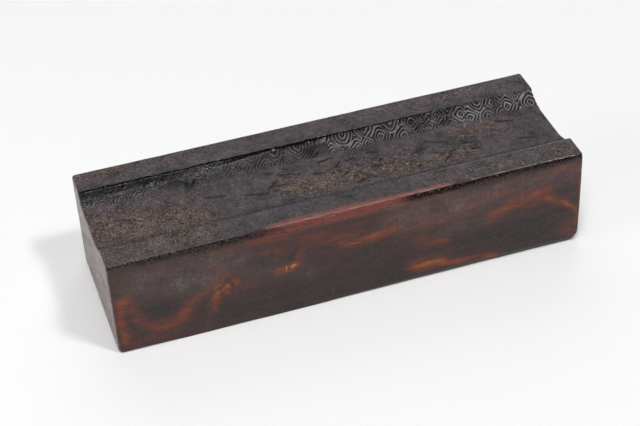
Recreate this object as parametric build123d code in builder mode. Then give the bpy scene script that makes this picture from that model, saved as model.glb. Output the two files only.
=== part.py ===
from build123d import *

import math
import os

# One half of a two-part mould for pressing ink sticks. It is a single billet of dark, close-grained
# hardwood. A shallow trough runs the whole length of its top and out through both ends. The flat
# borders on either side are the parting faces, where the other half of the mould lies on this one.
#
# Millimetres. X runs along the trough, Y across it and Z up, with the front face towards -Y.
# The origin is at the centre of the underside, on the surface that the block stands on.

# The billet.
LENGTH = 200.0
WIDTH = 66.0
HEIGHT = 44.0

# The trough: a flat floor between two coved walls that leave it tangentially.
TROUGH_WIDTH = 40.4
TROUGH_DEPTH = 5.1
COVE_RADIUS = 17.4

# Edges rounded by handling. The back arris of the top is still nearly sharp.
CORNER_RADIUS = 1.6
FRONT_ARRIS_RADIUS = 1.5
BACK_ARRIS_RADIUS = 0.4
BOTTOM_RADIUS = 0.9
MOUTH_RADIUS = 0.8
END_RADIUS = 0.4

# Wear: the lower front arris is bruised away towards the right, and the corner there is broken off.
WEAR_FROM_X = -20.0
WEAR_RISE = 2.6
WEAR_REACH = 1.6
WEAR_START = 0.1
BROKEN_CORNER = 4.5

# A gouge slip in the back cove, where the tool ran across the pattern.
SLIP_X = -54.5
SLIP_WIDTH = 3.2
SLIP_LENGTH = 5.0
SLIP_DEPTH = 0.9
SLIP_TAPER = -12

floor_z = HEIGHT - TROUGH_DEPTH
cove_angle = math.degrees(math.acos(1 - TROUGH_DEPTH / COVE_RADIUS))
floor_half = TROUGH_WIDTH / 2 - COVE_RADIUS * math.sin(math.radians(cove_angle))


def top_corners(sketch):
    """The section's corners at its highest level, from front to back."""
    return sketch.vertices().group_by(Axis.Y)[-1].sort_by(Axis.X)


with BuildPart() as mould_block:
    # The section across the trough, drawn for one side and mirrored, with its long edges eased.
    with BuildSketch(Plane.YZ.offset(-LENGTH / 2)) as section:
        with BuildLine():
            floor_line = Line((0, floor_z), (floor_half, floor_z))
            cove = JernArc(floor_line @ 1, (1, 0), COVE_RADIUS, cove_angle)
            Polyline(cove @ 1, (WIDTH / 2, HEIGHT), (WIDTH / 2, 0), (0, 0))
            mirror(about=Plane.YZ)
        make_face()
        fillet(top_corners(section)[1:3], MOUTH_RADIUS)
        fillet(top_corners(section)[0], FRONT_ARRIS_RADIUS)
        fillet(top_corners(section)[-1], BACK_ARRIS_RADIUS)
        fillet(section.vertices().group_by(Axis.Y)[0], BOTTOM_RADIUS)
    extrude(amount=LENGTH)

    # The outline seen from above rounds the upright corners.
    with BuildSketch():
        RectangleRounded(LENGTH, WIDTH, CORNER_RADIUS)
    extrude(amount=HEIGHT, mode=Mode.INTERSECT)

    # The outline seen from the front eases the ends of the top and the underside.
    with BuildSketch(Plane.XZ.offset(-WIDTH / 2)):
        with Locations((0, HEIGHT / 2)):
            RectangleRounded(LENGTH, HEIGHT, END_RADIUS)
    extrude(amount=WIDTH, mode=Mode.INTERSECT)

    # The bruised stretch of the lower front arris, growing from nothing towards the right end.
    with BuildSketch(Plane.YZ.offset(WEAR_FROM_X)):
        with Locations((-WIDTH / 2, 0)):
            Polygon((0, 0), (WEAR_START, 0), (0, WEAR_START), align=None)
    with BuildSketch(Plane.YZ.offset(LENGTH / 2)):
        with Locations((-WIDTH / 2, 0)):
            Polygon((0, 0), (WEAR_REACH, 0), (0, WEAR_RISE), align=None)
    loft(mode=Mode.SUBTRACT)

    # The broken corner: what lies beyond a plane across the lower right front corner is gone.
    corner = Vector(LENGTH / 2, -WIDTH / 2, 0)
    inward = Vector(-1, 1, 1)
    break_plane = Plane(origin=corner + inward * (BROKEN_CORNER / 3), z_dir=-inward)
    split(bisect_by=break_plane, keep=Keep.BOTTOM)

    # The gouge slip, cut square into the cove halfway up it.
    slip_angle = math.radians(cove_angle / 2)
    slip_y = floor_half + COVE_RADIUS * math.sin(slip_angle)
    slip_z = floor_z + COVE_RADIUS * (1 - math.cos(slip_angle))
    slip_normal = Vector(0, -math.sin(slip_angle), math.cos(slip_angle))
    slip_plane = Plane(origin=(SLIP_X, slip_y, slip_z), x_dir=(1, 0, 0), z_dir=slip_normal)
    with BuildSketch(slip_plane.offset(-SLIP_DEPTH)):
        Ellipse(SLIP_WIDTH / 2, SLIP_LENGTH / 2)
    extrude(amount=2 * SLIP_DEPTH, taper=SLIP_TAPER, mode=Mode.SUBTRACT)

mould_block.part.label = "mould_block"

os.makedirs("parts", exist_ok=True)
export_step(mould_block.part, "parts/mould_block.step")

print(f"floor {2 * floor_half:.2f} mm wide at z {floor_z:.2f} mm, coves {cove_angle:.1f} degrees")
print(f"volume {mould_block.part.volume / 1000:.1f} cm3, box {mould_block.part.bounding_box()}")
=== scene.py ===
# %% [markdown]
# # Half of a carved hardwood mould for pressing ink sticks
# Soft ink paste was pressed between two of these blocks and came out as a flat stick with patterned
# sides. Each half is one billet of heavy, dark wood. A shallow trough runs along its top between two
# flat borders, and the coved walls of the trough are carved with nested wave lines.
#
# The CAD model fixes the size and the plain shape. This script makes what the eye looks for: the
# carving, the worn arrises, the figured polished sides and the inky, dusty top.

# %% Load the frame
import math

import bpy
import numpy as np
from mathutils import Matrix, Vector
from mathutils.geometry import delaunay_2d_cdt


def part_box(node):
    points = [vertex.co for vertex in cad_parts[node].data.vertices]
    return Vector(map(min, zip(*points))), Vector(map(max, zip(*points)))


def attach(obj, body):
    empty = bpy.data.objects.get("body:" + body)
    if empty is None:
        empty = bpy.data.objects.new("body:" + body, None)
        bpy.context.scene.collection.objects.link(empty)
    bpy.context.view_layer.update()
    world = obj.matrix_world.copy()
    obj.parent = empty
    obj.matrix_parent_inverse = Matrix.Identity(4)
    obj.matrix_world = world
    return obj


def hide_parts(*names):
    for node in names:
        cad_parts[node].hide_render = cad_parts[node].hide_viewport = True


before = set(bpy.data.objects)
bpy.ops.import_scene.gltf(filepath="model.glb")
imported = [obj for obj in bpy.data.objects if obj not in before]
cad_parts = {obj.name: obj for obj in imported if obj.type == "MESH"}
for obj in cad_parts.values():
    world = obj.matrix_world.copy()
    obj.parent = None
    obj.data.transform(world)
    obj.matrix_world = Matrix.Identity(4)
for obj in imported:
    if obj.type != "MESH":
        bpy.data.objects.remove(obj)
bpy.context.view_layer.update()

BLOCK = "mould_block"
MM = 0.001

low, high = (np.array(corner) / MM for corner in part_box(BLOCK))
LENGTH, WIDTH, HEIGHT = high - low
print(f"the block is {LENGTH:.1f} x {WIDTH:.1f} x {HEIGHT:.1f} mm")

# %% [markdown]
# ## The camera
# A long lens from a little way off keeps the long edges of a small object nearly parallel, which is
# how small objects are usually pictured. The camera goes on a circle round the block: an azimuth, a
# height angle and a distance say where it is, and a small roll tips it. Building it from those few
# numbers keeps every one of them easy to change.

# %% Camera
AIM = Vector((-3.9, 0.1, 20.1)) * MM
AZIMUTH = math.radians(-15.5)
ELEVATION = math.radians(37.2)
DISTANCE = 748 * MM
ROLL = math.radians(-3.98)
LENS = 100.6

direction = Vector((
    math.sin(AZIMUTH) * math.cos(ELEVATION),
    -math.cos(AZIMUTH) * math.cos(ELEVATION),
    math.sin(ELEVATION),
))
camera = bpy.data.objects.new("camera", bpy.data.cameras.new("camera"))
camera.data.lens = LENS
camera.data.clip_start = 0.01
upright = direction.to_track_quat("Z", "Y").to_matrix().to_4x4()
place = Matrix.Translation(AIM + direction * DISTANCE)
camera.matrix_world = place @ upright @ Matrix.Rotation(ROLL, 4, "Z")
bpy.context.scene.collection.objects.link(camera)
bpy.context.scene.camera = camera
print(f"camera {DISTANCE / MM:.0f} mm away with a {LENS:.0f} mm lens")

# %% [markdown]
# ## Colours
# Paint shops and picture editors give colours as sRGB hex values, but a shader works with linear
# light. One function turns the first into the second, so that every colour below can be read and
# picked in the usual way.


# %% Colour helper
def linear(hex_colour):
    """An sRGB hex colour, such as '#6b3a22', as the linear RGBA that a shader wants."""
    parts = [int(hex_colour[i:i + 2], 16) / 255 for i in (1, 3, 5)]
    return [p / 12.92 if p <= 0.04045 else ((p + 0.055) / 1.055) ** 2.4 for p in parts] + [1.0]


# %% [markdown]
# ## Smooth random heights
# Wear, dents and hand carving all need randomness that is smooth and always comes out the same. A
# grid of seeded random numbers, read between its points with an eased blend, gives that for many
# thousands of points at once, and its bumps have a size in millimetres.

# %% Random heights
GRID = 256


def bumps(u, v, size, seed):
    """Smooth random heights from -1 to 1 whose bumps are about size mm across."""
    grid = np.random.default_rng(seed).uniform(-1, 1, (GRID, GRID))
    u, v = np.broadcast_arrays(np.asarray(u, float) / size, np.asarray(v, float) / size)
    i, j = np.floor(u).astype(int), np.floor(v).astype(int)
    a, b = u - i, v - j
    a, b = a * a * (3 - 2 * a), b * b * (3 - 2 * b)
    near = grid[i % GRID, j % GRID] * (1 - a) + grid[(i + 1) % GRID, j % GRID] * a
    far = grid[i % GRID, (j + 1) % GRID] * (1 - a) + grid[(i + 1) % GRID, (j + 1) % GRID] * a
    return near * (1 - b) + far * b


def ease(value, start, stop):
    """0 before start, 1 after stop and a smooth rise between them. Start may be the larger."""
    t = np.clip((value - start) / (stop - start), 0, 1)
    return t * t * (3 - 2 * t)


# %% [markdown]
# ## The section of the block
# The block is a long bar of one section, so its surface can be woven from columns that run the whole
# length and stations along it. The section is listed once round, up the front, over the top, down
# the back and back along the underside. The trough has a flat floor and two coves, arcs that
# leave the floor smoothly and reach the borders at 45 degrees. Columns crowd together at the arrises,
# which will be rounded, and each column says how finely it is cut along its length: the carved band
# needs a point every third of a millimetre, and the underside doesn't.

# %% Section columns
TROUGH_HALF = 20.2
TROUGH_DEPTH = 5.1
COVE_RADIUS = 17.4
MOUTH_RADIUS = 0.8
CARVED_BAND = 9.6
# Steps between columns on each face, and the first few distances from an arris.
FRONT_STEP, BORDER_STEP, CARVED_STEP, BACK_STEP, UNDER_STEP = 1.2, 0.9, 0.3, 2.0, 3.0
CROWDED = np.array([0, 0.15, 0.4, 0.75, 1.2, 1.8, 2.5])
# A column has a point at every station, every second one or every fourth one.
FINE, MEDIUM, COARSE = 1, 2, 4
# Places closer than CLOSE count as one, and FAR stands for not in a cove at all.
CLOSE, FAR = 0.01, 99.0

floor_z = HEIGHT - TROUGH_DEPTH
cove_angle = math.acos(1 - TROUGH_DEPTH / COVE_RADIUS)
cove_length = COVE_RADIUS * cove_angle
floor_half = TROUGH_HALF - COVE_RADIUS * math.sin(cove_angle)
mouth_cut = MOUTH_RADIUS * math.tan(cove_angle / 2)
front_y, back_y = -WIDTH / 2, WIDTH / 2
border_width = back_y - TROUGH_HALF - mouth_cut
print(f"floor {2 * floor_half:.1f} mm wide, borders {border_width:.1f} mm, coves {cove_length:.1f} mm round")


# %% Column helpers
def face_run(length, step, crowd_end=True):
    """Distances along a flat face, crowded towards its arrises. The next face adds the last one."""
    stop = length - CROWDED[-1] if crowd_end else length
    middle = np.linspace(CROWDED[-1], stop, max(2, round((stop - CROWDED[-1]) / step)) + 1)
    tail = length - CROWDED[::-1][1:-1] if crowd_end else []
    return np.concatenate([CROWDED[:-1], middle[:-1] if not crowd_end else middle, tail])


columns = []


def column(y, z, step, tilt=None, side=0, arc=0.0):
    """Adds one column. In the trough, tilt is the lean of the surface, side is -1 for the front cove
    and 1 for the back one, and arc is the distance down the cove from the border."""
    columns.append((y, z, step, tilt if tilt is not None else np.nan, side, arc))


def trough_side(side):
    """The mouth and the cove of one side, from the border down to the floor."""
    found = []
    for a in np.linspace(0, cove_angle, 4)[:-1]:
        y = TROUGH_HALF + mouth_cut - MOUTH_RADIUS * math.sin(a)
        z = HEIGHT - MOUTH_RADIUS * (1 - math.cos(a))
        found.append((side * y, z, FINE, -side * a, side, -mouth_cut * (1 - a / cove_angle)))
    fine = np.arange(mouth_cut, CARVED_BAND, CARVED_STEP)
    for arc in np.concatenate([fine, np.linspace(fine[-1] + 0.5, cove_length, 8)]):
        a = (cove_length - arc) / COVE_RADIUS
        y = floor_half + COVE_RADIUS * math.sin(a)
        z = floor_z + COVE_RADIUS * (1 - math.cos(a))
        found.append((side * y, z, FINE if arc < CARVED_BAND else MEDIUM, -side * a, side, arc))
    return found


# %% Columns round the section
FLOOR_COLUMNS = 22

for d in face_run(HEIGHT, FRONT_STEP):
    column(front_y, d, MEDIUM)
for d in face_run(border_width, BORDER_STEP, crowd_end=False):
    column(front_y + d, HEIGHT, MEDIUM)
columns += trough_side(-1)
for y in np.linspace(-floor_half, floor_half, FLOOR_COLUMNS + 2)[1:-1]:
    column(y, floor_z, MEDIUM, tilt=0.0, arc=cove_length)
columns += trough_side(1)[::-1]
for d in face_run(border_width, BORDER_STEP, crowd_end=False)[::-1]:
    column(back_y - d, HEIGHT, MEDIUM)
for d in face_run(HEIGHT, BACK_STEP)[1:]:
    column(back_y, HEIGHT - d, COARSE)
for d in face_run(WIDTH, UNDER_STEP):
    column(back_y - d, 0.0, COARSE)

col_y, col_z, col_step, col_tilt, col_side, col_arc = np.array(columns).T
in_trough = ~np.isnan(col_tilt)
print(f"{len(columns)} columns round the section, {in_trough.sum()} of them in the trough")

# %% [markdown]
# ## Stations along the block
# Even steps run along the middle, and at both ends the steps shrink like the shadow of a quarter
# circle, so that the worn upright corners come out round.

# %% Stations
END_STEPS = 12
END_REACH = 1.6
STEP_ALONG = 0.31

quarter = END_REACH * (1 - np.cos(np.linspace(0, math.pi / 2, END_STEPS + 1)))
inner = LENGTH / 2 - END_REACH
even = 4 * round(2 * inner / STEP_ALONG / 4)
stations = np.concatenate([
    quarter - LENGTH / 2,
    np.linspace(-inner, inner, even + 1)[1:-1],
    (LENGTH / 2 - quarter)[::-1],
])
print(f"{len(stations)} stations, {2 * inner / even:.2f} mm apart in the middle")

# %% [markdown]
# ## Wear on the arrises
# A block handled for a century has no sharp edge left, and no two edges are worn alike. Each point
# near an arris is pushed onto a rounded corner whose size changes along the edge. The upper front
# arris has become a steep bevel, the lower front one is bruised away to the right, where the corner
# is broken, and the back arris of the top is still crisp.

# %% Radius of each arris
x = stations[:, None]
# The middle of the upper front arris, from x = -48 to 52 mm, is rubbed rounder than the rest.
rubbed = ease(x, -48, -22) * ease(x, 52, 34)


def arris_radius(x):
    """The radii of the long arrises: lower front, upper front, upper back and lower back."""
    wander = bumps(x, 0, 9, 21)
    bruised = 1.5 * ease(x, -25, 22) + 0.7 * ease(x, 10, 60) + 0.4 * ease(x, -70, -90)
    lower_front = 0.6 + bruised + 0.25 * wander
    upper_front = 3.5 + 0.3 * bumps(x, 0, 14, 22) + 0.2 * bumps(x, 0, 4, 25)
    upper_front = upper_front - 1.9 * ease(x, -80, -96) - 1.4 * ease(x, 84, 98)
    upper_back = 0.45 + 0.12 * bumps(x, 0, 7, 23)
    lower_back = 1.0 + 0.3 * bumps(x, 0, 11, 24)
    return lower_front, upper_front, upper_back, lower_back


# %% Rounded section
# The section's corners are superellipses: a power of 1 is a flat bevel and 2 is a round.
BEVEL_POWER, ROUND_POWER = 1.15, 2.0


def rounded(x):
    """Each point of the section at each station, with its arrises worn, and the outward direction.
    The upper front arris is a steep bevel, taller than it is deep, and the others are round."""
    low_front, top_front, top_back, low_back = arris_radius(x)
    top, back = col_z > HEIGHT / 2, col_y > 0
    tall = np.where(top, np.where(back, top_back, top_front), np.where(back, low_back, low_front))
    deep = np.where(top & ~back, (0.36 + 0.35 * rubbed) * top_front, tall)
    power = np.where(top & ~back, BEVEL_POWER + 0.5 * rubbed, ROUND_POWER)
    core_y = np.clip(col_y, front_y + deep, back_y - deep)
    core_z = np.clip(col_z, tall, HEIGHT - tall)
    u, w = (col_y - core_y) / deep, (col_z - core_z) / tall
    inwards = np.where(in_trough, 1.0, np.abs(u) ** power + np.abs(w) ** power) ** (-1 / power)
    y = np.where(in_trough, col_y, core_y + deep * u * inwards)
    z = np.where(in_trough, col_z, core_z + tall * w * inwards)
    tilt = np.nan_to_num(col_tilt)
    out_y = np.where(in_trough, np.sin(tilt), np.sign(u) * np.abs(u) ** (power - 1) / deep)
    out_z = np.where(in_trough, np.cos(tilt), np.sign(w) * np.abs(w) ** (power - 1) / tall)
    size = np.hypot(out_y, out_z)
    return y, z, out_y / size, out_z / size, tall


# %% Worn ends
# The section keeps its place within this half width, and what lies outside it moves inwards.
STILL_HALF = 21.0


def quarter_drop(radius, from_end):
    """How far a rounded edge of that radius has dropped, at a distance from the end."""
    near = np.clip(radius - from_end, 0, None)
    return radius - np.sqrt(np.clip(radius ** 2 - near ** 2, 0, None))


def drawn_in(x, y, z):
    """The section's points near each end, drawn inwards so that the arrises of the ends are worn.
    The left end is worn more than the right one, and the lower front corners most of all."""
    from_end = LENGTH / 2 - np.abs(x)
    front_radius = np.where(x < 0, 1.3, 0.7) + 0.9 * np.exp(-(z / 3.2) ** 2)
    back_radius = np.where(x < 0, 1.5, 0.8)
    foot_radius = 0.6 + 0.9 * np.exp(-((y - front_y) / 3.2) ** 2)
    side = quarter_drop(np.where(y < 0, front_radius, back_radius), from_end)
    foot = quarter_drop(foot_radius, from_end)
    top = quarter_drop(np.where(x < 0, 0.9, 0.4), from_end)
    share_y = np.clip(np.abs(y) - STILL_HALF, 0, None) / (back_y - STILL_HALF)
    share_z = (z - HEIGHT / 2) / (HEIGHT / 2)
    moved_z = z - np.where(share_z > 0, top * share_z, foot * share_z)
    return y - np.sign(y) * side * share_y, moved_z


surf_y, surf_z, out_y, out_z, radius = rounded(x)
surf_y, surf_z = drawn_in(x, surf_y, surf_z)
print(f"arrises worn to radii of {arris_radius(x)[2].min():.1f} to {arris_radius(x)[0].max():.1f} mm")

# %% [markdown]
# ## The carved wave lines
# The pattern is a set of nested lines round scattered knots, like the contour lines of many small
# hills. A carver scribes the knots and fills in line after line at one gouge's width. The same rule
# works here: the distance to the nearest knot, measured so that some rings are pointed and others
# round, and a groove wherever that distance passes another line spacing. Where two knots meet, their
# lines join in sharp V shapes by themselves. A wobble in the distances makes it look cut by hand.

# %% Carving
# A fine gouge cuts lines about 1.3 mm apart. These are a little coarser, so that they show.
LINE_SPACING = 1.4
GROOVE_DEPTH = 0.62
# Rings have a power between these: 1 is a diamond and 2 is an oval. TALL below 1 stretches them down.
POINTED = (1.05, 1.55)
TALL = 0.85

# Knots of the back cove: place along the block, and depth below the trough's mouth.
KNOTS = [
    (-98, 3), (-95, 0), (-91, 7.8), (-87, 0.5), (-83, 7), (-79.5, 2.5), (-76, 9), (-72.8, 7),
    (-69, 0), (-65, 8), (-60, 1), (-55, 8.5), (-50, 2), (-46.5, 7), (-43, 0), (-39.5, 1.5),
    (-36, 8.3), (-31.5, 5.5), (-27, 0.3), (-21.2, 6.6), (-16.8, 0), (-12.8, 8.4), (-6.5, 1.5),
    (8, 8.5), (13.5, 1.5), (18.5, 9), (23.6, 0.5), (23.2, 7.6), (29.6, 5.6), (34.6, 0.3),
    (39.2, 8), (44, 2.3), (48.5, 8), (51.5, 6), (55.6, 3), (60.3, 8), (65.8, 4), (69.6, 6.4),
    (74.5, 0.3), (77.5, 8.6), (81, 2.5), (84, 8), (87.2, 5.6), (92, 0.3), (97.6, 6.2),
]


def grooves(x, arc, seed):
    """How deep the carving is at each point, from 0 on a ridge to 1 at the bottom of a groove."""
    along = x + 0.5 * bumps(x, arc, 3.3, seed) + 0.2 * bumps(x, arc, 1.6, seed + 1)
    down = arc + 0.5 * bumps(x, arc, 3.3, seed + 2) + 0.2 * bumps(x, arc, 1.6, seed + 3)
    nearest = np.full(along.shape, np.inf)
    powers = np.random.default_rng(seed).uniform(*POINTED, len(KNOTS))
    for (knot_x, knot_down), power in zip(KNOTS, powers):
        rings = np.abs(along - knot_x) ** power + np.abs((down - knot_down) * TALL) ** power
        nearest = np.minimum(nearest, rings ** (1 / power))
    wave = 0.5 - 0.5 * np.cos(2 * math.pi * nearest / LINE_SPACING)
    return wave ** (0.8 + 0.5 * ease(x, -15, 25))


# %% Where the cove is carved
GAP_X = 3.9


def carved_zone(x, arc):
    """1 where the cove is carved. The foot of the cove and a short gap in the middle are plain."""
    foot = CARVED_BAND - 0.9 + 0.6 * bumps(x, 0, 5, 41)
    gap = np.abs(x - GAP_X)
    return ease(arc, foot, foot - 0.9) * ease(arc, -0.6, 0.1) * ease(gap, 1.9, 2.6)


# %% [markdown]
# Near the left end of the back cove the carver left a plain leaf with an outline, and beside it the
# gouge slipped. The front cove has the same carving as the back one, mirrored end for end.

# %% Leaf, slip and relief
LEAF_X, LEAF_ARC, LEAF_LONG, LEAF_TALL = -61.0, 6.2, 6.5, 2.7
LEAF_LINE = 0.45
SLIP_X, SLIP_ARC, SLIP_DEPTH = -54.5, 7.2, 1.1


def leaf(x, arc):
    """Distance outside the outline of the plain leaf beside the slip, negative inside it."""
    return np.abs(arc - LEAF_ARC) - LEAF_TALL * (1 - ((x - LEAF_X) / LEAF_LONG) ** 2)


arc = np.where(in_trough & (col_side != 0), col_arc, FAR)[None, :]
back_cove = (col_side > 0)[None, :]
pattern_x = np.where(back_cove, x, 2 * GAP_X - x)
groove = grooves(pattern_x, arc, 31)
sharpness = np.where(back_cove, 0.72 + 0.28 * ease(x, -45, 10), 0.85)
zone = carved_zone(pattern_x, arc)
leaf_edge = leaf(x, arc)
plain_leaf = np.where(back_cove, ease(leaf_edge, 0.9, 0.0), 0.0)
beside_leaf = back_cove & (np.abs(x - LEAF_X) < LEAF_LONG)
leaf_line = np.where(beside_leaf, np.exp(-(leaf_edge / LEAF_LINE) ** 2), 0.0)
slip = np.hypot(((x - SLIP_X) + 0.5 * (arc - SLIP_ARC)) / 2.3, (arc - SLIP_ARC) / 3.6)
slip = np.where(back_cove, np.clip(1.15 - slip, 0, 1), 0.0)
relief = zone * sharpness * np.maximum(groove * (1 - plain_leaf), leaf_line * (arc < LEAF_ARC))
relief = relief * ease(slip, 0.3, 0.05)
print(f"carving {GROOVE_DEPTH} mm deep, a line every {LINE_SPACING} mm, round {len(KNOTS)} knots")

# %% [markdown]
# ## Soft strokes
# Many marks below are strokes: a nick, a streak of colour, a patch of dust. One helper draws them all,
# as lines with soft sides. It works on any two coordinates, so it can draw on the top, the front or
# down the cove.

# %% Stroke helper
def brush(u, v, strokes):
    """Soft strokes, as (u, v) to (u, v), half width and strength. The strongest one wins, and
    strokes below 0 are taken off."""
    more = np.zeros(np.broadcast(u, v).shape)
    less = more.copy()
    for u0, v0, u1, v1, half, strength in strokes:
        run_u, run_v = u1 - u0, v1 - v0
        share = np.clip(((u - u0) * run_u + (v - v0) * run_v) / (run_u ** 2 + run_v ** 2), 0, 1)
        away = np.hypot(u - u0 - share * run_u, v - v0 - share * run_v)
        more = np.maximum(more, strength * np.exp(-(away / half) ** 2))
        less = np.minimum(less, strength * np.exp(-(away / half) ** 2))
    return more + less


# %% Faces of the block
# The distance round the section, from the foot of the front, and which face each column is on.
girth = np.concatenate([[0], np.cumsum(np.hypot(np.diff(col_y), np.diff(col_z)))])[None, :]
on_front = (~in_trough & (col_y <= front_y + CLOSE))[None, :]
on_top = (~in_trough & (col_z >= HEIGHT - CLOSE))[None, :]
on_floor = in_trough[None, :] * ease(arc, 8.8, 10.2)
print(f"{girth.max():.0f} mm round the section")

# %% [markdown]
# ## Tool strokes on the floor
# The floor of the trough has short shallow strokes, worn nearly away, over its middle and its right.
# They are scattered at random. A few longer nicks along the grain lie elsewhere.

# %% Floor strokes
STROKE_DEPTH = 0.28
# Nicks as (x, y) to (x, y).
NICKS = [
    (-89, 3, -83, 0.7), (-51, 4, -43, 2), (-35, -0.7, -26, -3), (79, 9.4, 86, 7.6), (84, -5.6, 90, -7.2),
]
NICK_HALF_WIDTH = 0.6


def scatter_strokes(count, seed):
    """Worn strokes: each has a middle, a direction, half a length and a half width."""
    rng = np.random.default_rng(seed)
    turn = rng.normal(0, 0.5, count)
    return np.column_stack([
        rng.uniform(-25, 64, count), rng.uniform(-10.5, 10.5, count), np.cos(turn), np.sin(turn),
        rng.uniform(0.8, 3.2, count), rng.uniform(0.35, 0.6, count),
    ])


def strokes(x, y):
    """How deep the worn strokes and the nicks are at each point, from 0 to 1."""
    depth = np.maximum(brush(x, y, [nick + (NICK_HALF_WIDTH, 1.0) for nick in NICKS]), 0)
    for mid_x, mid_y, run_x, run_y, half, width in scatter_strokes(34, 51):
        along = np.clip((x - mid_x) * run_x + (y - mid_y) * run_y, -half, half)
        away = np.hypot(x - mid_x - along * run_x, y - mid_y - along * run_y)
        depth = np.maximum(depth, np.exp(-(away / width) ** 2))
    return depth


floor_strokes = strokes(x, surf_y) * on_floor
print(f"strokes {STROKE_DEPTH} mm deep cover {(floor_strokes > 0.5).sum()} points of the floor")

# %% [markdown]
# ## The steep drop under the back mouth
# The wall of the back cove drops steeply just below its mouth, which leaves a dark line there, and the
# lip is also painted dark below, as painted shade. The drop is deepest at the left, where it reaches
# further down the wall, and fades to the right.

# %% Undercut
ragged_arc = arc + 0.3 * bumps(x, 0, 1.7, 68) + 0.3 * bumps(x, 0, 6, 69)
steep_reach = 1.1 + 2.2 * ease(x, -10, -60)
dropped = 1 - 0.45 * ease(x, -5, 25) - 0.35 * ease(x, 30, 80)
deeper = ease(x, -45, -65)
ledge = (0.55 - 0.2 * deeper) * ease(ragged_arc, -0.2, 0.4)
slope = (0.45 + 0.2 * deeper) * np.clip(ragged_arc / steep_reach, 0, 1)
undercut = (1 + 0.7 * deeper) * (ledge + slope)
undercut = undercut * ease(arc, 10.0, 2.5) * back_cove * dropped
print(f"the wall drops by up to {undercut.max():.2f} mm")

# %% [markdown]
# ## Knocks and a hand-planed surface
# Flat faces on an old block are never quite flat. The sides swell and sink by a tenth of a
# millimetre, which bends the reflections on the polish. Two knotty spots on the front have lost a
# few splinters, two more have a thumbnail's dent, and the arrises are chipped.

# %% Knocks
SWELL, RIPPLE, CHIP, MOUTH_CHIP = 0.10, 0.03, 0.10, 0.35
SPLINTER, THUMBNAIL, FLOOR_RIPPLE = 0.4, 0.18, 0.06


def dent(x, z, mid_x, mid_z, half_x, half_z):
    """A soft hollow on the front, 1 in its middle."""
    return np.exp(-((x - mid_x) / half_x) ** 2 - ((z - mid_z) / half_z) ** 2)


swell = 0.5 + 0.5 * bumps(x, girth, 34, 61)
ripple = 0.5 + 0.5 * bumps(x, girth, 6, 62)
splinters = dent(x, surf_z, -55, 19.5, 3.6, 3.0) * (0.5 + 0.5 * bumps(x, surf_z, 1.7, 63))
splinters = splinters + dent(x, surf_z, -26, 22, 4.0, 3.2) * (0.5 + 0.5 * bumps(x, surf_z, 1.9, 64))
thumbnail = dent(x, surf_z, -23, 28, 1.6, 2.4) + 0.8 * dent(x, surf_z, -37.5, 29, 2.2, 1.6)
chips = ease(bumps(x, girth, 2.6, 65), 0.35, 0.9)
off_sides = np.abs(np.abs(col_y) - back_y)
off_levels = np.minimum(np.abs(col_z - HEIGHT), np.abs(col_z))
along_top = off_sides + np.where(np.abs(col_z - HEIGHT) < CLOSE, 0, FAR)
along_sides = off_levels + np.where(off_sides < CLOSE, 0, FAR)
arris_distance = np.minimum(along_top, along_sides)[None, :]
near_arris = np.exp(-(arris_distance / 1.1) ** 2) * np.clip(radius, 0, 1)
mouth_chips = ease(bumps(x, arc, 1.5, 67), 0.0, 0.8) * np.exp(-((arc + 0.1) / 0.6) ** 2) * back_cove
print(f"{(chips * near_arris > 0.3).sum()} chipped points near the arrises")

# %% Depth of every mark
carved_depth = GROOVE_DEPTH * (1 - 0.75 * ease(arc, steep_reach + 1.0, steep_reach - 0.6))
carved = relief * carved_depth + SLIP_DEPTH * slip
knocks = SWELL * swell + RIPPLE * ripple + CHIP * chips * near_arris + MOUTH_CHIP * mouth_chips
knocks = knocks + on_front * (SPLINTER * splinters + THUMBNAIL * thumbnail)
knocks = knocks + undercut + STROKE_DEPTH * floor_strokes
knocks = knocks + on_floor * FLOOR_RIPPLE * (0.5 + 0.5 * bumps(x, surf_y, 2.2, 66))
depth = carved + knocks
print(f"deepest mark {depth.max():.2f} mm")

# %% [markdown]
# ## Weaving the surface
# Every point is the plain section pushed in along its outward direction. Neighbouring columns are
# then joined with quads. Where a fine column meets a coarser one, a fan of triangles takes up the
# difference, so that the surface stays closed without a crack.

# %% Points
# The right end leans in towards its foot by this share of its distance from the middle.
END_LEAN = 0.012

point_y = surf_y - out_y * depth
point_z = surf_z - out_z * depth
lean = np.where(x > 0, END_LEAN * (1 - point_z / HEIGHT) ** 1.5, 0.0)
point_x = np.broadcast_to(x, point_y.shape) * (1 - lean)
steps = col_step.astype(int)
count = len(stations)
used = (np.arange(count)[:, None] % steps[None, :]) == 0
number = np.where(used, np.cumsum(used.ravel()).reshape(used.shape) - 1, -1)
points = np.column_stack([point_x[used], point_y[used], point_z[used]])
print(f"{len(points)} points")

# %% Broken corner
# What lies beyond a plane across the lower right front corner is pushed back onto it.
BROKEN_CORNER = 4.0
corner = np.array([LENGTH / 2 * (1 - END_LEAN), front_y, 0.0])
across = np.array([1.0, -1.0, -1.0]) / math.sqrt(3)
past = (points - corner) @ across + BROKEN_CORNER / math.sqrt(3)
past = past + 0.25 * bumps(points[:, 0] + points[:, 1], points[:, 2], 1.7, 68)
points = points - np.clip(past, 0, None)[:, None] * across
print(f"{(past > 0).sum()} points moved onto the break")


# %% Faces
def strip(left, right):
    """Faces between two columns, which may be cut at different steps."""
    a, b = steps[left], steps[right]
    wide = max(a, b)
    found = []
    for start in range(0, count - 1, wide):
        if a == b:
            found.append((number[start, left], number[start + a, left],
                          number[start + a, right], number[start, right]))
            continue
        i, j = start, start
        while i < start + wide or j < start + wide:
            if j >= start + wide or (i < start + wide and i - start + a / 2 <= j - start + b / 2):
                found.append((number[i, left], number[i + a, left], number[j, right]))
                i += a
            else:
                found.append((number[i, left], number[j + b, right], number[j, right]))
                j += b
    return found


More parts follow.
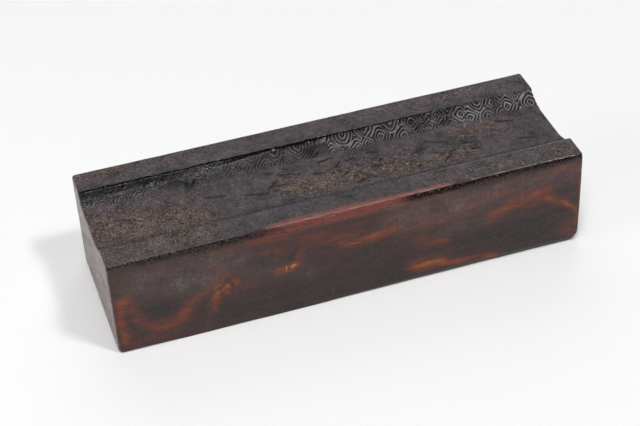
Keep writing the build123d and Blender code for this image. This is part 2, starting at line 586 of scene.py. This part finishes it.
faces = []
for k in range(len(columns)):
    faces += strip(k, (k + 1) % len(columns))
print(f"{len(faces)} faces without the ends")

# %% [markdown]
# ## The sawn ends
# Each end is a flat outline with the notch of the trough in it. A Delaunay triangulation fills such
# an outline evenly once some points are sprinkled inside it, and those points then carry the saw's
# shallow, slightly slanted ridges.

# %% End faces
# A saw's ridges lie about a millimetre apart. These are coarser, so that they show.
SAW_PITCH = 2.4
SAW_DEPTH = 0.12
END_GRID = 1.1


def inside_section(y, z, margin):
    """Whether points of an end lie inside the section by at least the margin."""
    cove = np.clip(np.abs(y) - floor_half, 0, None)
    trough = floor_z + COVE_RADIUS - np.sqrt(np.clip(COVE_RADIUS ** 2 - cove ** 2, 0, None))
    roof = np.where(np.abs(y) < TROUGH_HALF, trough, HEIGHT)
    return (np.abs(y) < back_y - 1.6 - margin) & (z > margin + 1) & (z < roof - margin)


def saw_marks(y, z):
    """Depth of the saw's ridges on an end, in mm."""
    across = z + 0.22 * y + 1.5 * bumps(y, z, 16, 71)
    wave = 0.5 + 0.5 * np.sin(2 * math.pi * across / SAW_PITCH)
    return SAW_DEPTH * wave * (0.5 + 0.5 * bumps(y, z, 7, 72)) + 0.1 * (0.5 + 0.5 * bumps(y, z, 13, 73))


def close_end(station, outward):
    """Fills one end and returns its new points and faces."""
    ring = [int(n) for n in number[station]]
    outline = points[ring][:, 1:]
    rng = np.random.default_rng(80 + station)
    grid_y, grid_z = np.meshgrid(np.arange(front_y, back_y, END_GRID), np.arange(0, HEIGHT, END_GRID))
    grid_y = grid_y.ravel() + rng.uniform(-0.3, 0.3, grid_y.size)
    grid_z = grid_z.ravel() + rng.uniform(-0.3, 0.3, grid_z.size)
    keep = inside_section(grid_y, grid_z, 0.7)
    inner = np.column_stack([grid_y[keep], grid_z[keep]])
    flat = [Vector(p) for p in np.vstack([outline, inner])]
    edges = [(k, (k + 1) % len(ring)) for k in range(len(ring))]
    filled, _, triangles, *_ = delaunay_2d_cdt(flat, edges, [], 1, 1e-6)
    print(f"end filled with {len(triangles)} triangles, {len(filled) - len(flat)} points added")
    edge_x = points[ring][:, 0]
    plane = edge_x.max() if outward > 0 else edge_x.min()
    fall = np.where(outward > 0, END_LEAN * (1 - inner[:, 1] / HEIGHT) ** 1.5 * plane, 0.0)
    inner_x = plane - fall - outward * saw_marks(inner[:, 0], inner[:, 1])
    made = np.column_stack([inner_x, inner])
    index = ring + [len(points) + k for k in range(len(inner))]
    turned = [[index[k] for k in (t if outward > 0 else t[::-1])] for t in triangles]
    return made, turned


for station, outward in ((0, -1), (count - 1, 1)):
    made, turned = close_end(station, outward)
    points = np.vstack([points, made])
    faces += turned
print(f"{len(points)} points and {sum(len(f) - 2 for f in faces)} triangles in all")

# %% [markdown]
# ## The mesh
# Points and faces become one closed mesh. A quick count of the edges that don't have exactly two
# faces shows whether it really is closed.

# %% Mesh
mesh = bpy.data.meshes.new("carved_block")
mesh.from_pydata((points * MM).tolist(), [], [tuple(int(k) for k in f) for f in faces])
mesh.validate()
mesh.update()
mesh.shade_smooth()
block = bpy.data.objects.new("carved_block", mesh)
bpy.context.scene.collection.objects.link(block)
faces_on_edge = np.zeros(len(mesh.edges), int)
loop_edges = np.zeros(len(mesh.loops), int)
mesh.loops.foreach_get("edge_index", loop_edges)
np.add.at(faces_on_edge, loop_edges, 1)
print(f"{(faces_on_edge != 2).sum()} open edges")

# %% [markdown]
# ## Where each finish lies
# The wood is one dark rosewood all over, but it has lived differently from place to place. Ink has
# soaked the top, hands have polished the sides, and the saw left the ends bare. Each of those is a
# number from 0 to 1 at every point of the mesh, painted here with soft strokes and read by the
# shader below. The figure of the front, a flame of orange heartwood, is painted in the same way.

# %% Painting helper
ends = len(points) - used.sum()


def paint(name, values, at_ends=0.0):
    """Stores one number per point of the mesh, for the shader. All points inside the ends get one value."""
    grid = np.broadcast_to(values, used.shape)[used]
    layer = mesh.attributes.new(name, "FLOAT", "POINT")
    layer.data.foreach_set("value", np.concatenate([grid, np.full(ends, at_ends)]).astype(np.float32))
    print(f"{name}: {grid.min():.2f} to {grid.max():.2f}, mean {grid.mean():.2f}")


# %% [markdown]
# ## The figure of the front
# Orange heartwood runs through the front like a flame, and it is this block's most striking feature.
# A texture can't know where it runs, so it is painted: strokes follow it, and two sizes of
# smooth bumps bend them, so that no stroke is straight.

# %% Strokes of the figure
# Strokes on the front as (x, z) to (x, z), half width and strength. Above 0 is redder, below 0 darker.
FIGURE = [
    (-97, 6, -96, 28, 3.2, 0.44), (-92, 22, -89, 13, 3.0, 0.40), (-89, 12, -84, 9.5, 3.4, 0.42),
    (-84, 9.5, -77, 10.5, 3.6, 0.43), (-77, 10.5, -68, 17, 3.4, 0.43), (-68, 17, -61, 21, 3.2, 0.32),
    (-60, 12, -58, 22, 2.4, 0.46), (-58, 22, -50, 21, 3.2, 0.46), (-58, 31, -55, 24, 3.6, 0.30),
    (-48, 19, -40, 18, 3.2, 0.22), (-31, 21, -25, 23, 3.0, 0.50), (-24, 24, -21, 31, 2.0, 0.32),
    (-36, 33, -22, 34, 4.5, 0.24), (-20, 36, 0, 31, 6.0, 0.30), (-5, 29, 18, 28.5, 3.0, 0.50),
    (18, 30, 55, 32, 7.0, 0.24), (27, 20, 40, 17, 3.2, 0.34), (25, 8, 38, 7, 3.4, 0.52),
    (38, 6, 62, 4, 2.2, 0.50), (60, 24, 70, 26, 3.2, 0.46), (70, 27, 84, 28, 4.2, 0.51),
    (84, 27, 91, 22, 3.2, 0.48), (91, 22, 97, 16.5, 1.8, 0.72), (93, 10, 98, 6, 4.0, 0.34),
    (-57, 40, -26, 40, 3.0, 0.30), (-95, 4, -64, 4, 3.0, 0.16), (99, 38, 99, 10, 1.6, 0.40),
    (55, 36, 95, 36, 5.0, 0.22), (88, 40, 99, 36, 4.0, 0.36), (-100, 38, -60, 38, 3.0, 0.10),
    (58, 14, 90, 13, 7.0, -0.20), (-35, 7, 18, 9, 7.0, -0.12), (-55, 9, -35, 8, 6.0, -0.12),
    (-39.6, 28, -35, 31, 1.4, -0.30), (-82, 17, -76, 18, 3.0, -0.15), (-26, 27.5, -23, 30, 1.1, -0.35),
    (-57, 21, -54, 24, 0.7, -0.40), (-54, 24, -51, 20, 0.7, -0.40), (44, 17, 60, 18, 3.0, -0.12),
]
print(f"{len(FIGURE)} strokes")

# %% Figure of the wood
lengthwise = 0.6 * bumps(x / 9, girth, 7, 91) + 0.4 * bumps(x / 9, girth, 3, 92)
on_sides = (~in_trough & (col_z < HEIGHT - CLOSE))[None, :]
bent_x = x + 1.4 * bumps(x, surf_z, 9, 97) + 0.7 * bumps(x, surf_z, 3, 98)
bent_z = surf_z + 1.6 * bumps(x, surf_z, 9, 99) + 0.6 * bumps(x / 2, surf_z, 2.5, 90)
front_figure = 0.20 + brush(bent_x, bent_z, FIGURE) + 0.05 * lengthwise
front_figure = front_figure + 0.8 * splinters * ease(bumps(x, surf_z, 1.1, 87), 0.0, 0.7)
other_figure = 0.30 + 0.42 * lengthwise + 0.18 * ease(bumps(x / 4, girth, 5, 93), 0.3, 0.9)
paint("figure", np.where(on_front, front_figure, other_figure), 0.2)

# %% [markdown]
# ## Ink and a dark strip
# Ink covers the top and stops in a ragged line at the arrises. Below it, a strip along the front arris
# is painted black with a few dull red specks, a painted reflection of the dark room that its steep bevel
# mirrors. In the middle, where fingers rub, the strip stops and the arris is reddish.

# %% Ink and the dark strip
over_front = HEIGHT - girth
back_arris = np.flatnonzero(col_z >= HEIGHT - CLOSE)[-1]
over_back = girth - girth[0, back_arris]
ragged = 0.5 * bumps(x, girth, 2.2, 94) + 0.8 * bumps(x / 3, girth, 5, 95)
front_half = over_back < -WIDTH / 2
ink_front = ease(over_front - 0.6 + 4.2 * rubbed - ragged, 0.7, -0.7)
ink_back = ease(over_back - 0.3 - 0.5 * ragged, 0.5, -0.5)
# How far down the front the strip painted black, as the dark room's reflection, reaches.
dark_strip_reach = 3.4 + 0.5 * ragged - 1.8 * ease(x, -82, -95) - 1.0 * ease(x, 84, 98)
dark_strip = ease(over_front, -1.5, -0.9) * ease(over_front - dark_strip_reach, 0.7, -0.5)
dark_strip = dark_strip * (1 - rubbed * ease(x, 28, 16)) * front_half
glow = rubbed * ease(over_front, -5.0, -2.5) * ease(over_front, 5.5, 2.5) * front_half
paint("inked", np.where(front_half, ink_front, ink_back) * (1 - dark_strip))
paint("dark_strip", dark_strip)
paint("glow", glow)

# %% [markdown]
# ## Painted shade in the hollows, painted highlights on the ridges
# The grooves, the lip under the back mouth, the slip, the leaf's outline and the upper left of the cove
# are painted dark, as the shade that falls in them. The plain leaf and the gap in the middle are painted
# darker too, the carved band between the ridges half dark, and a few stretches of ridges light, as
# highlights. Dark hollows reflect little, so most of the contrast of the carving comes from these masks
# together with the real relief.

# %% Painted shade in the hollows
# The lip under the back mouth is painted dark, as painted shade over the real drop of the wall.
shaded_lip = ease(arc, steep_reach + 1.0 + 0.6 * ragged, steep_reach - 0.6) * ease(ragged_arc, -0.35, 0.0)
shaded_lip = shaded_lip * back_cove * dropped
gap_side = back_cove * ease(np.abs(x - GAP_X), 2.6, 1.9) * ease(arc, 9, 8)
left_shade = back_cove * ease(arc, 5.5, 3.0) * ease(x, -48, -66)
hollows = np.maximum(relief, np.maximum(0.95 * shaded_lip, ease(slip, 0.02, 0.25)))
hollows = np.maximum(hollows, 0.75 * gap_side)
hollows = np.maximum(hollows, np.maximum(leaf_line * (arc < LEAF_ARC), 0.4 * plain_leaf))
hollows = np.maximum(hollows, 0.85 * left_shade)
print(f"{(hollows > 0.5).sum()} points in dark hollows")

# %% Painted highlights on the ridges
# Painted highlights: strokes down the back cove as (x, arc) to (x, arc).
HIGHLIGHT_STROKES = [
    (8, 6, 22, 7, 5, 0.95), (26, 3, 38, 6, 5, 0.70), (48, 6, 56, 5, 4, 0.40), (66, 6, 76, 4, 5, 0.95),
    (86, 5, 98, 5, 6, 0.85), (-32, 6, -8, 5, 5, 0.40), (-48, 6, -38, 6, 4, 0.25), (-98, 7, -68, 7, 3, 0.50),
]
# The tops of the ridges under these strokes are painted light, as highlights.
ridge_highlights = zone * (1 - hollows) ** 2.2 * (0.02 + 0.85 * brush(x, arc, HIGHLIGHT_STROKES)) * back_cove
ridge_highlights = ridge_highlights * (1 + 0.5 * bumps(x, arc, 2.5, 88))
# A thin line along the top of the front bevel is painted light, as a highlight.
rim_highlight = np.exp(-((over_front + 0.9) / 0.4) ** 2) * ease(x, -50, -15) * (0.5 + 0.5 * bumps(x, 0, 3, 96))
# The rim of the front mouth, towards the right, is painted light, as a highlight.
mouth_highlight = np.exp(-((arc + 0.2) / 0.7) ** 2) * ~back_cove * ease(x, 15, 55)
# Painted shade: the hollows black, and the carved band between the highlights half dark.
paint("groove", np.maximum(hollows, 0.5 * zone * np.clip(1 - 2 * ridge_highlights, 0, 1)))
# All the painted highlights: on the ridges, along the top of the front bevel and on the front mouth's rim.
paint("painted_highlight", np.maximum(np.maximum(ridge_highlights, 0.5 * rim_highlight), 0.3 * mouth_highlight))
paint("nicked", floor_strokes)

# %% [markdown]
# ## Smooth places
# Old wax and ink fill the right part of the carving, the lip and the dark strip along the front arris
# until they are nearly smooth. They get a low roughness below, so they mirror only a small part of the
# room and stay black. A rough surface would gather light from everywhere and turn grey.

# %% Smooth places
waxed = 0.65 * np.maximum(relief, 0.5 * zone) * back_cove * ease(x, -45, -15)
thin_lip = shaded_lip * (1 - ease(x, -30, -50) * ease(arc, 0.4, 1.0))
paint("smooth", np.maximum(np.maximum(thin_lip, dark_strip), np.maximum(0.8 * gap_side, waxed)))

# %% [markdown]
# ## Dust and bloom
# Dust settles on the flat top, thickest on the floor of the trough. A milky bloom lies in patches on
# the polished front. Both are painted in strokes, and the shader breaks them up.

# %% Dust
# Strokes on the top as (x, y) to (x, y).
DUST = [
    (-92, 0, -62, -6, 12, 0.70), (-52, -4, -20, -8, 7, 0.08), (-14, -3, 2, -6, 7, 0.70),
    (2, -2, 34, -6, 9, 0.55), (38, -6, 60, -9, 6, 0.45), (62, 9, 80, 5, 6, 0.45),
    (-98, -24, -58, -24, 8, 0.42), (40, -27, 96, -27, 5, 0.30), (-98, 29, -45, 29, 5, 0.24),
    (-98, 30, -80, 30, 4, 0.50), (20, 29, 96, 29, 5, 0.22), (60, 28, 80, 31, 3, 0.50),
]
WORN = [(12, 2, 58, -5, 8, 1.0), (-70, 2, -30, -2, 6, 0.25), (66, 4, 90, 0, 6, 0.15)]
thick = 0.22 + brush(x, surf_y, DUST)
back_foot = np.where(back_cove, ease(arc, 4.5, 10), 1.0)
clear_arris = ease(over_front, -0.9 + 0.6 * ragged, -2.0)
speckled = 0.15 * dark_strip * ease(x, -20, -45) * ease(over_front, 2.0, -0.4)
dust = np.where(in_trough[None, :], thick * back_foot, np.where(on_top, thick * clear_arris, 0.06))
paint("dust", dust + speckled)
paint("worn", on_floor * brush(x, surf_y, WORN))

# %% Bloom and sawn ends
# Strokes on the front as (x, z) to (x, z).
BLOOM = [
    (-88, 33, -62, 28, 7, 0.7), (-66, 36, -48, 32, 6, 0.6), (-48, 26, -20, 20, 5, 0.3),
    (20, 34, 60, 33, 7, 0.6), (60, 36, 97, 36, 5, 0.4), (40, 22, 58, 22, 4, 0.3),
    (73.5, 40, 73.5, 27, 0.5, 0.6), (75.5, 39, 75, 31, 0.4, 0.4), (61, 38, 72, 37, 1.0, 0.7),
]
paint("bloom", np.where(on_front, brush(x, surf_z, BLOOM), 0.25 * on_sides * (1 + lengthwise)))
paint("sawn", ease(np.abs(x), LENGTH / 2 - 0.5, LENGTH / 2 - 0.1), 1.0)

# %% [markdown]
# ## Rosewood
# Rosewood and its kin are heavy, close-grained and nearly black-brown, with orange and red streaks
# where the heartwood is lighter. Rubbed by hand for years, the wood takes a soft polish without a
# varnish, so it is one plain shader with an IOR of 1.45 and a roughness of about a third.
#
# One helper adds every node. It sets the node's own settings and fills or links its inputs.

# %% Node helper
material = bpy.data.materials.new("aged_rosewood")
material.use_nodes = True
tree = material.node_tree
shader = tree.nodes["Principled BSDF"]


def node(kind, inputs, output=0, **settings):
    """Adds a node, sets it up, fills or links its inputs and returns one of its outputs."""
    made = tree.nodes.new("ShaderNode" + kind)
    for name, value in settings.items():
        setattr(made, name, value)
    for name, value in inputs.items():
        if isinstance(value, bpy.types.NodeSocket):
            tree.links.new(value, made.inputs[name])
        else:
            made.inputs[name].default_value = value
    return made.outputs[output]


object_place = node("TexCoord", {}, output=3)
place_mm = node("VectorMath", {0: object_place, "Scale": 1 / MM}, operation="SCALE")
masks = {
    layer.name: node("Attribute", {}, output=2, attribute_name=layer.name)
    for layer in mesh.attributes if layer.domain == "POINT" and layer.data_type == "FLOAT"
}
print(f"masks: {', '.join(masks)}")

# %% [markdown]
# ## Grain and colour
# Grain is noise that is stretched along the block: broad bands, fibres and pores. The bands and the
# fibres feather the edges of the painted figure, and a colour ramp then turns it into wood, from
# black-brown through dark red to orange and gold.

# %% Grain
# Real pores are a tenth of a millimetre wide. These are three times coarser, to be seen at all.
sway = node("TexNoise", {"Vector": place_mm, "Scale": 0.03, "Detail": 2.0}, output=1)
swayed = node("VectorMath", {0: sway, 1: (0.0, 9.0, 9.0), 2: place_mm}, operation="MULTIPLY_ADD")
grain = {}
for name, size_mm, detail in (
    ("bands", (20.0, 2.8, 2.8), 5.0),
    ("fibres", (7.0, 0.7, 0.7), 5.0),
    ("pores", (3.5, 0.32, 0.32), 1.0),
):
    stretched = node("Mapping", {"Vector": swayed, "Scale": size_mm}, vector_type="TEXTURE")
    grain[name] = node("TexNoise", {"Vector": stretched, "Scale": 1.0, "Detail": detail})
pore_mask = node("MapRange", {"Value": grain["pores"], "From Min": 0.60, "From Max": 0.70})

# %% Wood colour
WOOD = [
    (0.00, "#1c1311"), (0.22, "#321a17"), (0.42, "#451f1a"), (0.58, "#60260c"),
    (0.75, "#7b3a0a"), (0.90, "#935f22"), (1.00, "#b08a55"),
]
feathered = node("MapRange", {"Value": grain["bands"], "From Min": 0.3, "From Max": 0.7,
                              "To Min": -0.14, "To Max": 0.14})
feathered = node("Math", {0: feathered, 1: masks["figure"]}, operation="ADD")
fine = node("MapRange", {"Value": grain["fibres"], "From Min": 0.3, "From Max": 0.7,
                         "To Min": -0.10, "To Max": 0.10})
feathered = node("Math", {0: feathered, 1: fine}, operation="ADD")
wood = node("ValToRGB", {"Fac": feathered})
ramp = wood.node.color_ramp
for _ in WOOD[2:]:
    ramp.elements.new(0.5)
for element, (position, colour) in zip(ramp.elements, WOOD):
    element.position = position
    element.color = linear(colour)
wood = node("Mix", {0: masks["glow"], 6: wood, 7: linear("#703830")}, output=2, data_type="RGBA")
wood = node("Mix", {0: pore_mask, 6: wood, 7: linear("#1a0f0d")}, output=2, data_type="RGBA")
print(f"wood ramp with {len(ramp.elements)} colours")

# %% [markdown]
# ## Bloom
# Old wax and handling leave a milky bloom on the polish. It is cloudy, with small flecks.

# %% Bloom
cloud = node("TexNoise", {"Vector": place_mm, "Scale": 0.16, "Detail": 4.0, "Roughness": 0.6})
cloud = node("MapRange", {"Value": cloud, "From Min": 0.3, "From Max": 0.7, "To Min": 0.08, "To Max": 0.30})
flecks = node("TexNoise", {"Vector": place_mm, "Scale": 0.9, "Detail": 3.0, "Distortion": 1.0})
flecks = node("MapRange", {"Value": flecks, "From Min": 0.40, "From Max": 0.68, "To Min": 0.6, "To Max": 2.0})
bloom = node("Math", {0: cloud, 1: masks["bloom"]}, operation="MULTIPLY")
bloom = node("Math", {0: bloom, 1: flecks}, operation="MULTIPLY", use_clamp=True)
sides = node("Mix", {0: bloom, 6: wood, 7: linear("#948985")}, output=2, data_type="RGBA")

# %% [markdown]
# ## Ink
# On the top, soot ink has soaked in and dried to a soft charcoal with purplish stains. Shade is painted
# black in the grooves, and highlights pale grey on some ridges. The strip along the front arris is painted
# black too, as the dark room that it mirrors, and dull red in specks.

# %% Ink
stain = node("TexNoise", {"Vector": place_mm, "Scale": 0.12, "Detail": 8.0, "Roughness": 0.8})
stain = node("MapRange", {"Value": stain, "From Min": 0.38, "From Max": 0.64})
ink = node("Mix", {0: stain, 6: linear("#0d0b0e"), 7: linear("#41333a")}, output=2, data_type="RGBA")
# Painted highlights turn the ink pale grey.
ink = node("Mix", {0: masks["painted_highlight"], 6: ink, 7: linear("#948f8f")}, output=2, data_type="RGBA")
# Painted shade turns the hollows near black.
ink = node("Mix", {0: masks["groove"], 6: ink, 7: linear("#080707")}, output=2, data_type="RGBA")
print(f"{len(tree.nodes)} nodes so far")

# %% Dark strip, painted black as a reflection of the dark room
specks = node("TexNoise", {"Vector": place_mm, "Scale": 1.3, "Detail": 2.0})
specks = node("MapRange", {"Value": specks, "From Min": 0.50, "From Max": 0.66})
dark_strip_colour = node("Mix", {0: specks, 6: linear("#0e0606"), 7: linear("#452a26")}, output=2, data_type="RGBA")
blackened = node("Mix", {0: masks["dark_strip"], 6: sides, 7: dark_strip_colour}, output=2, data_type="RGBA")
deck = node("Mix", {0: masks["inked"], 6: blackened, 7: ink}, output=2, data_type="RGBA")
print("ink over soot over wood")

# %% [markdown]
# ## Dust and paper fibres
# Dust lies on the ink as powder and as short curly fibres from paper. A fibre is a thin contour line
# of a distorted noise, which curls as a real one does: the noise less its middle value is near 0
# there. Real fibres are a few hundredths of a millimetre thick. These are several times thicker,
# so that they show.

# %% Fibres and powder
curls = node("TexNoise", {"Vector": place_mm, "Scale": 0.52, "Detail": 3.0, "Distortion": 2.0})
curls = node("Math", {0: curls, 1: 0.5}, operation="SUBTRACT")
curls = node("Math", {0: curls}, operation="ABSOLUTE")
curls = node("MapRange", {"Value": curls, "From Min": 0.030, "From Max": 0.006})
powder = node("TexNoise", {"Vector": place_mm, "Scale": 0.55, "Detail": 5.0, "Roughness": 0.8})
powder = node("MapRange", {"Value": powder, "From Min": 0.55, "From Max": 0.70, "To Max": 0.7})
settled = node("Math", {0: curls, 1: 1.0, 2: powder}, operation="MULTIPLY_ADD", use_clamp=True)
settled = node("Math", {0: settled, 1: masks["dust"]}, operation="MULTIPLY")
print("fibres and powder where the dust was painted")

# %% Dusty top
# Thick dust is browner than thin dust.
brown = node("MapRange", {"Value": masks["dust"], "From Min": 0.3, "From Max": 0.7})
dust_colour = node("Mix", {0: brown, 6: linear("#a6a09d"), 7: linear("#ab937f")}, output=2, data_type="RGBA")
dusty_deck = node("Mix", {0: settled, 6: deck, 7: dust_colour}, output=2, data_type="RGBA")

# %% [markdown]
# ## Worn strokes on the floor
# The finest strokes of the floor are too shallow for the mesh. They are contour lines of a coarse
# noise, broken into short pieces by a second noise, and they join the strokes that the mesh does have.

# %% Worn strokes on the floor
nicks = node("TexNoise", {"Vector": place_mm, "Scale": 0.30, "Detail": 2.0, "Distortion": 1.2})
nicks = node("Math", {0: nicks, 1: 0.5}, operation="SUBTRACT")
nicks = node("Math", {0: nicks}, operation="ABSOLUTE")
nicks = node("MapRange", {"Value": nicks, "From Min": 0.022, "From Max": 0.008})
broken = node("TexNoise", {"Vector": place_mm, "Scale": 0.25, "Detail": 1.0})
broken = node("MapRange", {"Value": broken, "From Min": 0.48, "From Max": 0.54})
nicks = node("Math", {0: nicks, 1: broken}, operation="MULTIPLY")
nicks = node("Math", {0: nicks, 1: masks["worn"]}, operation="MULTIPLY")
nicks = node("Math", {0: nicks, 1: masks["nicked"]}, operation="MAXIMUM")
dusty_deck = node("Mix", {0: nicks, 6: dusty_deck, 7: linear("#120c0c")}, output=2, data_type="RGBA")
print("dark strokes on the floor")

# %% [markdown]
# ## Sawn ends
# A saw across the grain leaves slanted streaks. End grain takes less polish than the sides and keeps
# pale dust in its scratches, so it is lighter and greyer. Seen at a low angle it shines. The streaks
# and the crumbs between them are millimetres wide, much coarser than real ones, so that they show.

# %% Sawn ends
streaks = node("Mapping", {"Vector": place_mm, "Rotation": (math.radians(-13), 0.0, 0.0),
                           "Scale": (30.0, 14.0, 1.0)}, vector_type="TEXTURE")
streaks = node("TexNoise", {"Vector": streaks, "Scale": 1.0, "Detail": 4.0, "Roughness": 0.6})
crumbs = node("Mapping", {"Vector": place_mm, "Scale": (3.0, 2.0, 1.6)}, vector_type="TEXTURE")
crumbs = node("TexNoise", {"Vector": crumbs, "Scale": 1.0, "Detail": 5.0, "Roughness": 0.75})
streaks = node("Mix", {0: 0.55, 2: streaks, 3: crumbs})
streak_mask = node("MapRange", {"Value": streaks, "From Min": 0.40, "From Max": 0.60})
end_colours = {0: streak_mask, 6: linear("#4c3e3b"), 7: linear("#8e7e77")}
end_grain = node("Mix", end_colours, output=2, data_type="RGBA")
colour = node("Mix", {0: masks["sawn"], 6: dusty_deck, 7: end_grain}, output=2, data_type="RGBA")
print("sawn ends")

# %% [markdown]
# ## Scratches
# Fine straight scratches catch the light. They are noise drawn out into long thin lines. Each set
# lies in the plane of the face that it crosses, and two sets cross each other there. At a third of
# a millimetre they are wider than real ones, so that they show.

# %% Scratches
scratched = None
for turn, kept_on in (
    ((0.0, 0.8, 0.0), "sides"), ((0.0, -1.2, 0.0), "sides"),
    ((0.0, 0.0, 0.9), "top"), ((0.0, 0.0, -0.5), "top"),
):
    line = node("Mapping", {"Vector": place_mm, "Location": (7.0 * turn[1], 5.0 * turn[2], 0.0),
                            "Rotation": turn, "Scale": (12.0, 0.35, 0.35)}, vector_type="TEXTURE")
    line = node("TexNoise", {"Vector": line, "Scale": 1.0, "Detail": 0.0})
    line = node("MapRange", {"Value": line, "From Min": 0.79, "From Max": 0.87})
    off, on = (1.0, 0.0) if kept_on == "sides" else (0.0, 1.0)
    here = node("MapRange", {"Value": masks["inked"], "To Min": off, "To Max": on})
    line = node("Math", {0: line, 1: here}, operation="MULTIPLY")
    scratched = line if scratched is None else node("Math", {0: scratched, 1: line}, operation="MAXIMUM")
pale = node("Math", {0: scratched, 1: 0.2}, operation="MULTIPLY")
colour = node("Mix", {0: pale, 6: colour, 7: linear("#a09690")}, output=2, data_type="RGBA")
tree.links.new(colour, shader.inputs["Base Color"])

# %% [markdown]
# ## Shine
# Polished sides are fairly smooth. Ink is patchy, duller where it is stained least. Bloom, dust and
# fibres dull whatever they lie on, and the strokes on the floor are matt, or the reflection of the
# room would hide them.

# %% Shine
inked_shine = node("Mix", {0: stain, 2: 0.52, 3: 0.26})
shine = node("Mix", {0: masks["inked"], 2: 0.34, 3: inked_shine})
shine = node("Mix", {0: masks["smooth"], 2: shine, 3: 0.16})
shine = node("Math", {0: masks["bloom"], 1: 0.10, 2: shine}, operation="MULTIPLY_ADD")
shine = node("Math", {0: masks["dust"], 1: 0.35, 2: shine}, operation="MULTIPLY_ADD")
shine = node("Math", {0: settled, 1: 0.25, 2: shine}, operation="MULTIPLY_ADD")
shine = node("Mix", {0: nicks, 2: shine, 3: 0.95})
sawn_shine = node("Mix", {0: streak_mask, 2: 0.46, 3: 0.28})
shine = node("Mix", {0: masks["sawn"], 2: shine, 3: sawn_shine})
tree.links.new(shine, shader.inputs["Roughness"])
print("roughness linked")

# %% [markdown]
# ## Fine relief
# One height in millimetres feeds one bump node: fibres, pores, scratches and nicks in the wood, grit
# and soft lumps in the dried ink, the thickness of the dust, and the saw's streaks on the ends. The
# smooth places have no grit, which would sparkle there.

# %% Fine relief
grit = node("TexNoise", {"Vector": place_mm, "Scale": 1.1, "Detail": 3.0, "Roughness": 0.6})
gritty = node("Math", {0: masks["inked"], 1: masks["smooth"]}, operation="SUBTRACT", use_clamp=True)
grit = node("Math", {0: grit, 1: gritty}, operation="MULTIPLY")
height = node("Math", {0: grain["fibres"], 1: 0.05}, operation="MULTIPLY")
height = node("Math", {0: grit, 1: 0.12, 2: height}, operation="MULTIPLY_ADD")
lumps = node("TexNoise", {"Vector": place_mm, "Scale": 0.28, "Detail": 3.0, "Roughness": 0.6})
lumps = node("Math", {0: lumps, 1: gritty}, operation="MULTIPLY")
height = node("Math", {0: lumps, 1: 0.5, 2: height}, operation="MULTIPLY_ADD")
height = node("Math", {0: pore_mask, 1: -0.03, 2: height}, operation="MULTIPLY_ADD")
height = node("Math", {0: settled, 1: 0.05, 2: height}, operation="MULTIPLY_ADD")
height = node("Math", {0: scratched, 1: -0.03, 2: height}, operation="MULTIPLY_ADD")
height = node("Math", {0: nicks, 1: -0.30, 2: height}, operation="MULTIPLY_ADD")
saw_height = node("Math", {0: streaks, 1: 0.30}, operation="MULTIPLY")
height = node("Mix", {0: masks["sawn"], 2: height, 3: saw_height})
bump = node("Bump", {"Height": height, "Distance": MM, "Strength": 1.0})
tree.links.new(bump, shader.inputs["Normal"])
shader.inputs["IOR"].default_value = 1.45
mesh.materials.append(material)
print(f"{len(tree.nodes)} nodes")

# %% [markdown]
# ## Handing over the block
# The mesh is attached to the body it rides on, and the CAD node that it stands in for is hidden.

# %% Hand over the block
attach(block, "root")
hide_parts(BLOCK)

# %% [markdown]
# ## The paper
# The block lies on seamless white paper. Uncoated paper is matt and nearly white, so it mirrors
# nothing and shows only the block's shadow.

# %% Floor
PAPER_HALF = 3.0
floor_mesh = bpy.data.meshes.new("paper")
paper_corners = [(side_x * PAPER_HALF, side_y * PAPER_HALF, 0) for side_x, side_y in (
    (-1, -1), (1, -1), (1, 1), (-1, 1),
)]
floor_mesh.from_pydata(paper_corners, [], [(0, 1, 2, 3)])
paper = bpy.data.objects.new("paper", floor_mesh)
bpy.context.scene.collection.objects.link(paper)
paper_material = bpy.data.materials.new("matte_white_paper")
paper_material.use_nodes = True
paper_shader = paper_material.node_tree.nodes["Principled BSDF"]
paper_shader.inputs["Base Color"].default_value = linear("#f4f4f4")
paper_shader.inputs["Roughness"].default_value = 0.9
floor_mesh.materials.append(paper_material)
print(f"paper {2 * PAPER_HALF:.0f} m square")

# %% [markdown]
# ## The lamps
# Large soft lamps light small objects evenly. The key makes the shadow, and a long fill and an
# overhead lamp open it up. A big dim backdrop is what the flat top mirrors, and a small wash lifts
# the left end.

# %% World
scene = bpy.context.scene
scene.view_settings.view_transform = "Standard"
world = bpy.data.worlds.new("studio")
world.use_nodes = True
world.node_tree.nodes["Background"].inputs["Color"].default_value = linear("#ffffff")
world.node_tree.nodes["Background"].inputs["Strength"].default_value = 0.08
scene.world = world


# %% Lamps
def soft_lamp(name, towards, distance, size, glow):
    """A rectangular lamp that faces the block. Glow is its brightness beside white paper's, 1."""
    lamp = bpy.data.objects.new(name, bpy.data.lights.new(name, "AREA"))
    lamp.data.shape = "RECTANGLE"
    lamp.data.size, lamp.data.size_y = size
    lamp.data.energy = math.pi * size[0] * size[1] * glow
    away = Vector(towards).normalized()
    turned = away.to_track_quat("Z", "Y").to_matrix().to_4x4()
    lamp.matrix_world = Matrix.Translation(away * distance) @ turned
    scene.collection.objects.link(lamp)
    print(f"{name}: {lamp.data.energy:.1f} W")


soft_lamp("key", (0.346, -0.404, 0.846), 3.0, (0.42, 0.42), 53.0)
soft_lamp("fill", (-0.20, -0.40, 1.0), 3.6, (0.80, 3.0), 9.7)
soft_lamp("overhead", (0.10, 0.16, 1.0), 3.6, (0.56, 2.8), 1.8)
soft_lamp("backdrop", (0.22, 0.85, 0.60), 3.4, (3.6, 2.6), 0.98)
soft_lamp("wash", (-0.90, -0.10, 0.45), 0.95, (0.4, 0.4), 3.0)
